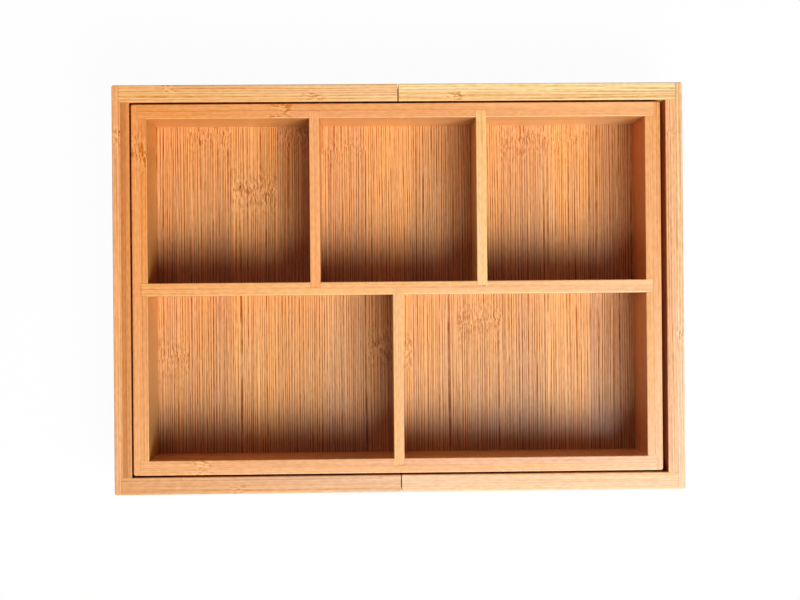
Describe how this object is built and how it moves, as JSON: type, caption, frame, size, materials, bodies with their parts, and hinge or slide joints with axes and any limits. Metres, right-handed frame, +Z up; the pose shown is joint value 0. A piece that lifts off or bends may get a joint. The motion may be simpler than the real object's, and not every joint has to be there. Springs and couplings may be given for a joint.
{
  "type": "expandable drawer organizer",
  "caption": "Expandable bamboo drawer organizer: a divided tray held between sliding U-shaped wings that pull out sideways to fill the drawer.",
  "frame": {"origin": "under the middle of the closed organizer, on the surface that it stands on", "axes": "+X across the wings' travel, to the right wing; +Y to the back row of compartments; +Z up"},
  "size_m": [0.33, 0.236, 0.055],
  "materials": {
    "tray_board": "laminated bamboo board, sanded, satin lacquer",
    "tray_floor": "bamboo ply in wide strips, fibres across the tray, satin lacquer",
    "divider": "laminated bamboo strip, sanded, satin lacquer",
    "guide": "plain bamboo strip",
    "wing_board": "laminated bamboo board, sanded, satin lacquer",
    "wing_floor": "bamboo ply, satin lacquer"
  },
  "bodies": {
    "tray": {"tray_left_end": "tray_board", "tray_right_end": "tray_board", "tray_back_rail": "tray_board", "tray_front_rail": "tray_board", "tray_floor": "tray_floor", "long_divider": "divider", "upper_left_divider": "divider", "upper_right_divider": "divider", "lower_divider": "divider", "back_left_guide": "guide", "back_right_guide": "guide", "front_left_guide": "guide", "front_right_guide": "guide"},
    "left_wing": {"left_wing_end": "wing_board", "left_wing_back_rail": "wing_board", "left_wing_front_rail": "wing_board", "left_wing_floor": "wing_floor"},
    "right_wing": {"right_wing_end": "wing_board", "right_wing_back_rail": "wing_board", "right_wing_front_rail": "wing_board", "right_wing_floor": "wing_floor"}
  },
  "joints": [
    {"name": "left_wing_slide", "type": "slide", "parent": "tray", "child": "left_wing", "axis": [-1, 0, 0], "range_m": [0, 0.096]},
    {"name": "right_wing_slide", "type": "slide", "parent": "tray", "child": "right_wing", "axis": [1, 0, 0], "range_m": [0, 0.094]}
  ]
}
